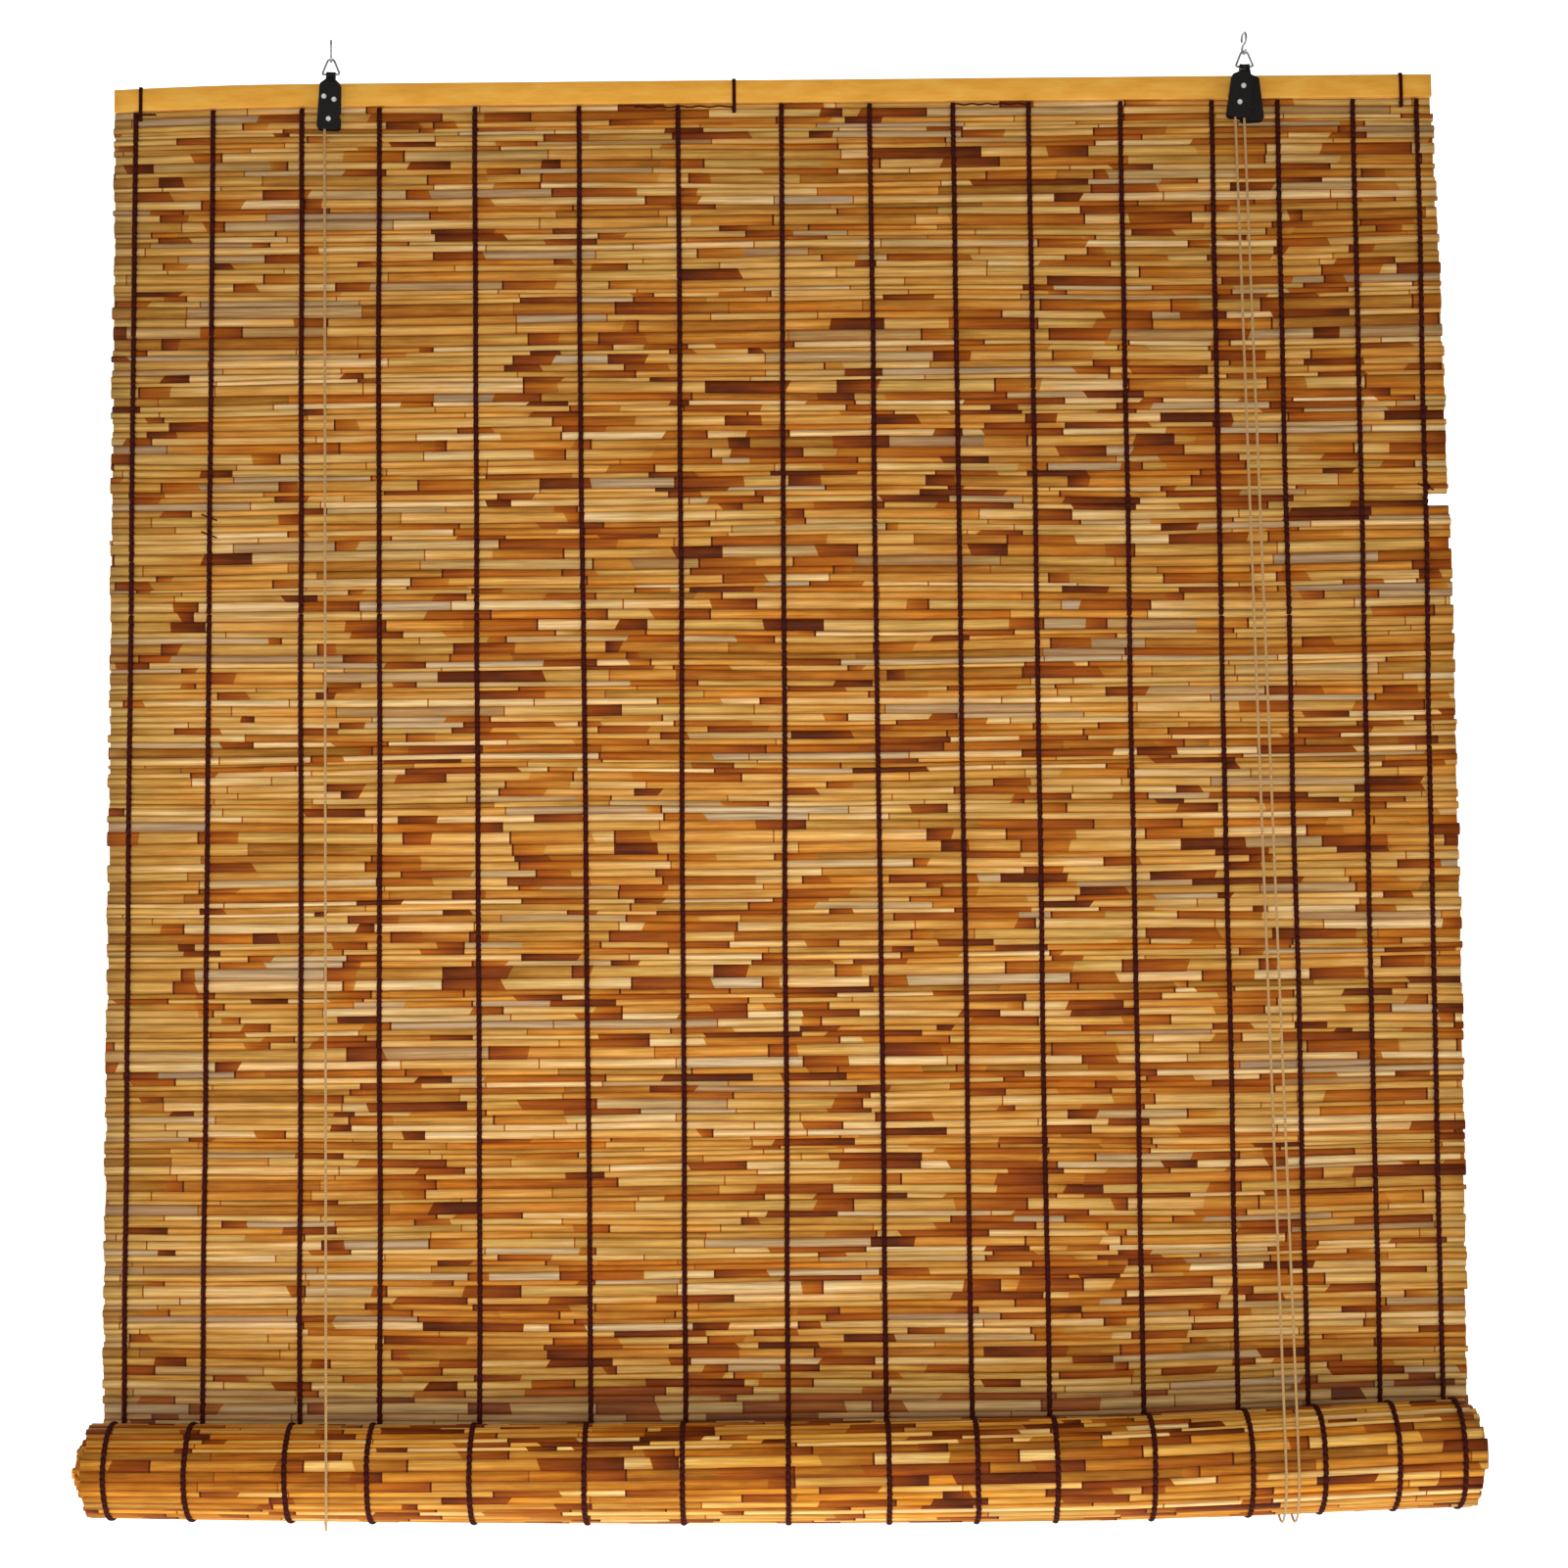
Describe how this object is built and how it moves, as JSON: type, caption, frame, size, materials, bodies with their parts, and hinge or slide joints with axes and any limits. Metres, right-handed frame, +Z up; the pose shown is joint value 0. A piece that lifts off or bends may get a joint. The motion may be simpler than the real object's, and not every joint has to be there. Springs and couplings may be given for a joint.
{
  "type": "bamboo blind",
  "caption": "Roll-up reed blind with dark twined threads on a flat bamboo rail, hung by S-hooks and pulley blocks, its lower part rolled up on lift cords.",
  "frame": {"origin": "on the level line that the blind hangs from, the inside top of both S-hooks' eyes, above the middle of the rail's width and in the plane of the mat", "axes": "+X along the rail to the viewer's right, +Y away from the viewer to the wall, +Z up"},
  "size_m": [1.2144, 0.1037, 1.3302],
  "materials": {
    "rail_bamboo": "satin",
    "reed": "matte",
    "dark_thread": "matte",
    "zinc_steel": "satin",
    "black_steel": "satin",
    "sheave_plastic": "matte",
    "bright_steel": "satin",
    "cotton_cord": "matte"
  },
  "bodies": {
    "hooks": {"s_hook_left": "zinc_steel", "s_hook_right": "zinc_steel"},
    "rings": {"ring_left": "zinc_steel", "ring_right": "zinc_steel"},
    "headrail": {"top_rail": "rail_bamboo", "thread_tie_left": "dark_thread", "thread_tie_middle": "dark_thread", "thread_tie_right": "dark_thread", "hanging_mat": "reed", "warp_thread_01": "dark_thread", "warp_thread_02": "dark_thread", "warp_thread_03": "dark_thread", "warp_thread_04": "dark_thread", "warp_thread_05": "dark_thread", "warp_thread_06": "dark_thread", "warp_thread_07": "dark_thread", "warp_thread_08": "dark_thread", "warp_thread_09": "dark_thread", "warp_thread_10": "dark_thread", "warp_thread_11": "dark_thread", "warp_thread_12": "dark_thread", "warp_thread_13": "dark_thread", "warp_thread_14": "dark_thread", "warp_thread_15": "dark_thread", "warp_thread_16": "dark_thread", "pulley_block_left": "black_steel", "pulley_block_right_front": "black_steel", "pulley_block_right_rear": "black_steel", "axle_left": "bright_steel", "axle_right_front": "bright_steel", "axle_right_rear": "bright_steel", "rail_screws": "bright_steel", "cord_staples": "zinc_steel"},
    "lift": {"lift_cord_left": "cotton_cord", "lift_cord_right": "cotton_cord"},
    "roll": {"rolled_mat": "reed", "roll_warp_thread_01": "dark_thread", "roll_warp_thread_02": "dark_thread", "roll_warp_thread_03": "dark_thread", "roll_warp_thread_04": "dark_thread", "roll_warp_thread_05": "dark_thread", "roll_warp_thread_06": "dark_thread", "roll_warp_thread_07": "dark_thread", "roll_warp_thread_08": "dark_thread", "roll_warp_thread_09": "dark_thread", "roll_warp_thread_10": "dark_thread", "roll_warp_thread_11": "dark_thread", "roll_warp_thread_12": "dark_thread", "roll_warp_thread_13": "dark_thread", "roll_warp_thread_14": "dark_thread", "roll_warp_thread_15": "dark_thread", "roll_warp_thread_16": "dark_thread", "bottom_slat": "rail_bamboo"},
    "left_sheave": {"sheave_left": "sheave_plastic"},
    "right_front_sheave": {"sheave_right_front": "sheave_plastic"},
    "right_rear_sheave": {"sheave_right_rear": "sheave_plastic"}
  },
  "joints": [
    {"name": "blind_swing", "type": "hinge", "parent": "hooks", "child": "headrail", "pos_m": [0, -0.0082, -0.014], "axis": [1, 0, 0], "range_deg": [-25, 0]},
    {"name": "ring_turn", "type": "hinge", "parent": "headrail", "child": "rings", "pos_m": [0, -0.0082, -0.0302], "axis": [1, 0, 0], "range_deg": [-2, 2]},
    {"name": "roll_lift", "type": "slide", "parent": "headrail", "child": "lift", "axis": [0, 0, 1], "range_m": [0, 1], "deforming": ["hanging_mat", "warp_thread_01", "warp_thread_02", "warp_thread_03", "warp_thread_04", "warp_thread_05", "warp_thread_06", "warp_thread_07", "warp_thread_08", "warp_thread_09", "warp_thread_10", "warp_thread_11", "warp_thread_12", "warp_thread_13", "warp_thread_14", "warp_thread_15", "warp_thread_16", "lift_cord_left", "lift_cord_right"]},
    {"name": "roll_turn", "type": "hinge", "parent": "lift", "child": "roll", "pos_m": [0, -0.0444, -1.2766], "axis": [1, 0, 0], "range_deg": [-1080, 0]},
    {"name": "left_sheave_turn", "type": "hinge", "parent": "headrail", "child": "left_sheave", "pos_m": [-0.40369, -0.0082, -0.07237], "axis": [0, 1, 0], "continuous": true},
    {"name": "right_front_sheave_turn", "type": "hinge", "parent": "headrail", "child": "right_front_sheave", "pos_m": [0.42238, -0.0186, -0.06731], "axis": [0, 1, 0], "continuous": true},
    {"name": "right_rear_sheave_turn", "type": "hinge", "parent": "headrail", "child": "right_rear_sheave", "pos_m": [0.43458, -0.0082, -0.07], "axis": [0, 1, 0], "continuous": true}
  ],
  "couplings": [
    {"joint": "roll_turn", "follows": "roll_lift", "rad_per_m": -18.849}
  ]
}
